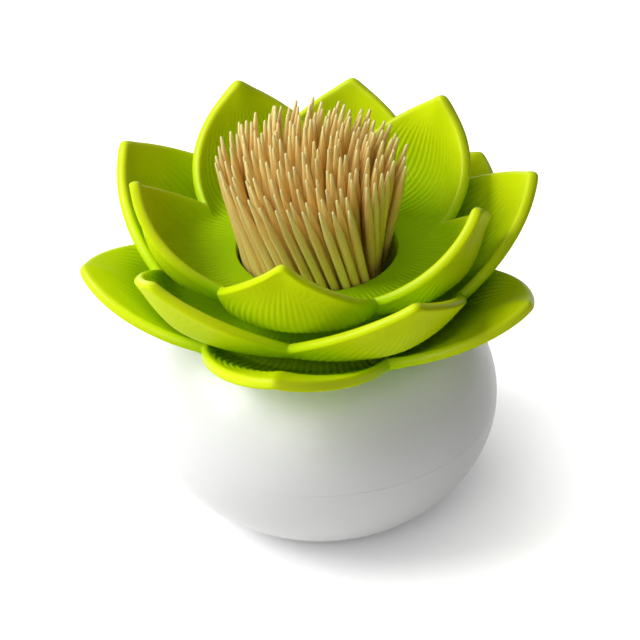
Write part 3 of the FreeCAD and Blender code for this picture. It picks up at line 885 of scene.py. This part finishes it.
def toothpick_mesh(name, picks, cup, feet, sways, lifts, tones):
    """Toothpicks on their lines through the bundle.

    A toothpick is rings of points along its own axis, round between and narrow at both ends.  Its
    axis runs from its foot towards its foot times the bundle's number, one length above.  Its sway
    moves the upper end and leaves the bundle's waist where it is, and its lift slides it along that
    axis."""
    tip, body = picks.tip_diameter / 2, picks.diameter / 2
    way_in = np.array([0, *POINT_RINGS])
    widths = tip + (body - tip) * np.array([-END_CLOSING, *POINT_RINGS])
    along = np.concatenate([picks.taper * way_in, picks.long - picks.taper * way_in[::-1]])
    radius = np.concatenate([widths, widths[::-1]])
    local = swing(np.stack([radius, along], axis=1)[:, None], circle(TOOTHPICK_COLUMNS)[None])
    top = bundle_number(picks)
    waist = -(top - 1).real / abs(top - 1) ** 2
    feet = feet - sways * waist / (1 - waist)
    travel = (feet + sways * waist / (1 - waist)) * (top - 1) + sways / (1 - waist)
    axis = np.stack([travel.real, travel.imag, np.full(len(feet), picks.long)], axis=1)
    axis /= np.linalg.norm(axis, axis=1, keepdims=True)
    right = np.cross(axis, (0.0, 1.0, 0.0))
    right /= np.linalg.norm(right, axis=1, keepdims=True)
    ahead = np.cross(axis, right)
    floor = CUP_LOW.z + cup.floor + picks.seat_gap
    foot = np.stack([feet.real, feet.imag, np.full(len(feet), floor)], axis=1) + axis * lifts[:, None]
    foot, right, ahead, axis = (values[:, None, None] for values in (foot, right, ahead, axis))
    points = foot + local[..., :1] * right + local[..., 1:2] * ahead + local[..., 2:] * axis
    quads = outward(points[0].reshape(-1, 3), grid_quads(len(along), TOOTHPICK_COLUMNS, False))
    corners = np.arange(len(along) * TOOTHPICK_COLUMNS).reshape(len(along), -1)
    caps = np.stack([corners[0, ::-1], corners[-1]])
    first = np.arange(len(feet))[:, None, None] * corners.size
    faces = (quads[None] + first).reshape(-1, 4).tolist()
    faces += (caps[None] + first).reshape(-1, TOOTHPICK_COLUMNS).tolist()
    piece = place(name, points.reshape(-1, 3), faces)
    piece.data.shade_smooth()
    apart = np.array([0.011, 0.007, 0.083]) * np.arange(len(feet))[:, None, None, None]
    own = np.broadcast_to(local, points.shape) + apart
    carry(piece, "own_place", own, "FLOAT_VECTOR", "vector")
    # How near a place is to an end; it pales the points in the colour, partly as cut wood and partly
    # as a painted highlight.
    point = np.broadcast_to(smooth(np.abs(along - picks.long / 2), picks.long / 2 - picks.taper * 0.5,
                                   picks.long / 2)[:, None], points.shape[:-1])
    carry(piece, "tone", np.broadcast_to(tones[:, None, None], points.shape[:-1]))
    carry(piece, "point", point)
    return piece


class BuildToothpicks(bpy.types.Operator):
    """Builds the rows of loose toothpicks round the middle one"""
    bl_idname = "dispenser.toothpicks"
    bl_label = "Toothpick rows"

    def execute(self, context):
        settings = context.scene.dispenser
        picks, cup = settings.toothpicks, settings.cup
        wood = bamboo(picks.tint, picks.dark)
        floor = CUP_LOW.z + cup.floor
        step, rows = row_step(picks, cup, floor, CUP_HIGH.z + settings.petals.wall)
        chance = np.random.default_rng(SEED)
        for row in range(1, rows + 1):
            order = np.arange(6 * row)
            angle = 2 * np.pi * (order + 0.5 * (row % 2)) / len(order)
            lifts = picks.stagger * np.modf((order + 5 * row) * GOLDEN_STEP)[0]
            to_front = (0.5 - 0.5 * np.cos(angle - picks.twist - np.pi / 2)) ** 0.5 * row / rows
            lifts = lifts * (1 - FRONT_EVENNESS * to_front)
            tones = chance.random(len(order)) ** TONE_POWER
            sways = chance.random(len(order)) + 1j * chance.random(len(order)) - 0.5 - 0.5j
            sways = picks.sway * sways
            side = (0.5 + 0.5 * np.cos(angle - picks.twist - picks.lean_side)) ** 2
            sways = sways - picks.lean * row / rows * side * np.exp(1j * (angle - picks.twist))
            sways = sways - 1j * picks.forward * to_front
            if row == rows:
                kept = (angle <= picks.gap_start) | (angle >= picks.gap_end)
                angle, lifts, tones, sways = angle[kept], lifts[kept], tones[kept], sways[kept]
            feet = (picks.centre_room + row * step) * np.exp(1j * angle)
            name = "toothpicks_of_row_%d" % row
            piece = toothpick_mesh(name, picks, cup, feet, sways, lifts, tones)
            dress(piece, wood, "toothpicks", "toothpicks", "toothpick_row_%d" % row)
        return {"FINISHED"}


class BuildMiddleToothpick(bpy.types.Operator):
    """Builds the toothpick in the middle, which is drawn by itself"""
    bl_idname = "dispenser.middle_toothpick"
    bl_label = "Middle toothpick"

    def execute(self, context):
        settings = context.scene.dispenser
        picks = settings.toothpicks
        centre = np.zeros(1, complex)
        piece = toothpick_mesh("toothpick_in_the_middle", picks, settings.cup, centre, centre,
                               np.zeros(1), np.array([MIDDLE_TONE]))
        wood = bamboo(picks.tint, picks.dark)
        dress(piece, wood, "single_toothpick", "toothpicks", "middle_toothpick")
        return {"FINISHED"}


# ---- Studio ----
def softbox(name, spot, size, power):
    """A square area lamp at a spot, facing the part."""
    lamp = bpy.data.lights.new(name, "AREA")
    lamp.shape = "SQUARE"
    lamp.size = size
    lamp.energy = power
    made = bpy.data.objects.new(name, lamp)
    bpy.context.scene.collection.objects.link(made)
    facing = (Vector(spot) - LIT_SPOT).to_track_quat("Z", "Y").to_matrix().to_4x4()
    made.matrix_world = Matrix.Translation(spot) @ facing


class BuildStage(bpy.types.Operator):
    """Builds the floor, the surroundings, the lamps and the camera"""
    bl_idname = "dispenser.stage"
    bl_label = "Studio"

    def execute(self, context):
        stage = context.scene.dispenser.stage
        scene = context.scene
        radii = np.array([0, 0.2, 0.6, 2.0, 6.0])
        profile = np.stack([radii, np.full(len(radii), -stage.floor_drop)], axis=1)
        disc = swing(profile[:, None], circle(FLOOR_COLUMNS)[None]).reshape(-1, 3)
        quads = grid_quads(len(radii), FLOOR_COLUMNS, False)[:, ::-1]
        floor = place("studio_floor", disc, quads.tolist())
        floor.data.validate()
        floor.data.materials.append(paper_floor(stage.floor_tint, stage.painted_shadow_floor_glow, stage.far_glow))

        world = bpy.data.worlds.new("White surroundings")
        world.use_nodes = True
        tree = world.node_tree
        background = tree.nodes["Background"]
        background.inputs["Color"].default_value = (1.0, 1.0, 1.0, 1.0)
        strength = maths(tree, "MULTIPLY_ADD", seen_directly(tree), 1.0 - stage.ambient, stage.ambient)
        tree.links.new(strength, background.inputs["Strength"])
        scene.world = world

        for which, spot, size in SOFTBOXES:
            softbox(which + "_softbox", spot, size, getattr(stage, which))

        lens = bpy.data.cameras.new("camera")
        lens.lens = stage.lens
        lens.sensor_width = 36.0
        camera = bpy.data.objects.new("camera", lens)
        scene.collection.objects.link(camera)
        target = Matrix.Translation((stage.target_side, 0, stage.target_height))
        tilt = Matrix.Rotation(np.pi / 2 - stage.elevation, 4, "X")
        camera.matrix_world = (Matrix.Rotation(stage.azimuth, 4, "Z") @ target @ tilt
                               @ Matrix.Rotation(stage.roll, 4, "Z")
                               @ Matrix.Translation((0, 0, stage.distance)))
        scene.camera = camera
        scene.view_settings.view_transform = "Standard"
        return {"FINISHED"}


# ---- Add-on ----
OPERATORS = (BuildGlobe, BuildPetals, BuildCup, BuildRetainingRing, BuildToothpicks,
             BuildMiddleToothpick, BuildStage)
GROUPS = (GlobeSettings, PetalSettings, OuterPetalSettings, MiddlePetalSettings, InnerPetalSettings,
          CupSettings, ToothpickSettings, StageSettings, DispenserSettings)


class DispenserPanel(bpy.types.Panel):
    """Lists the pieces and their settings"""
    bl_idname = "DISPENSER_PT_pieces"
    bl_label = "Toothpick dispenser"
    bl_space_type = "VIEW_3D"
    bl_region_type = "UI"
    bl_category = "Dispenser"

    def draw(self, context):
        settings = context.scene.dispenser
        for operator in OPERATORS:
            self.layout.operator(operator.bl_idname)
        for name in DispenserSettings.__annotations__:
            box = self.layout.box()
            box.label(text=name.capitalize())
            group = getattr(settings, name)
            for field in type(group).__annotations__:
                box.prop(group, field)


def register():
    for made in (*GROUPS, *OPERATORS, DispenserPanel):
        bpy.utils.register_class(made)
    bpy.types.Scene.dispenser = PointerProperty(type=DispenserSettings)


def unregister():
    del bpy.types.Scene.dispenser
    for made in reversed((*GROUPS, *OPERATORS, DispenserPanel)):
        bpy.utils.unregister_class(made)


def main():
    """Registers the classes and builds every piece."""
    register()
    bpy.ops.dispenser.globe()
    bpy.ops.dispenser.petals()
    bpy.ops.dispenser.cup()
    bpy.ops.dispenser.retaining_ring()
    bpy.ops.dispenser.toothpicks()
    bpy.ops.dispenser.middle_toothpick()
    bpy.ops.dispenser.stage()
    bpy.context.view_layer.update()


if __name__ == "__main__":
    main()
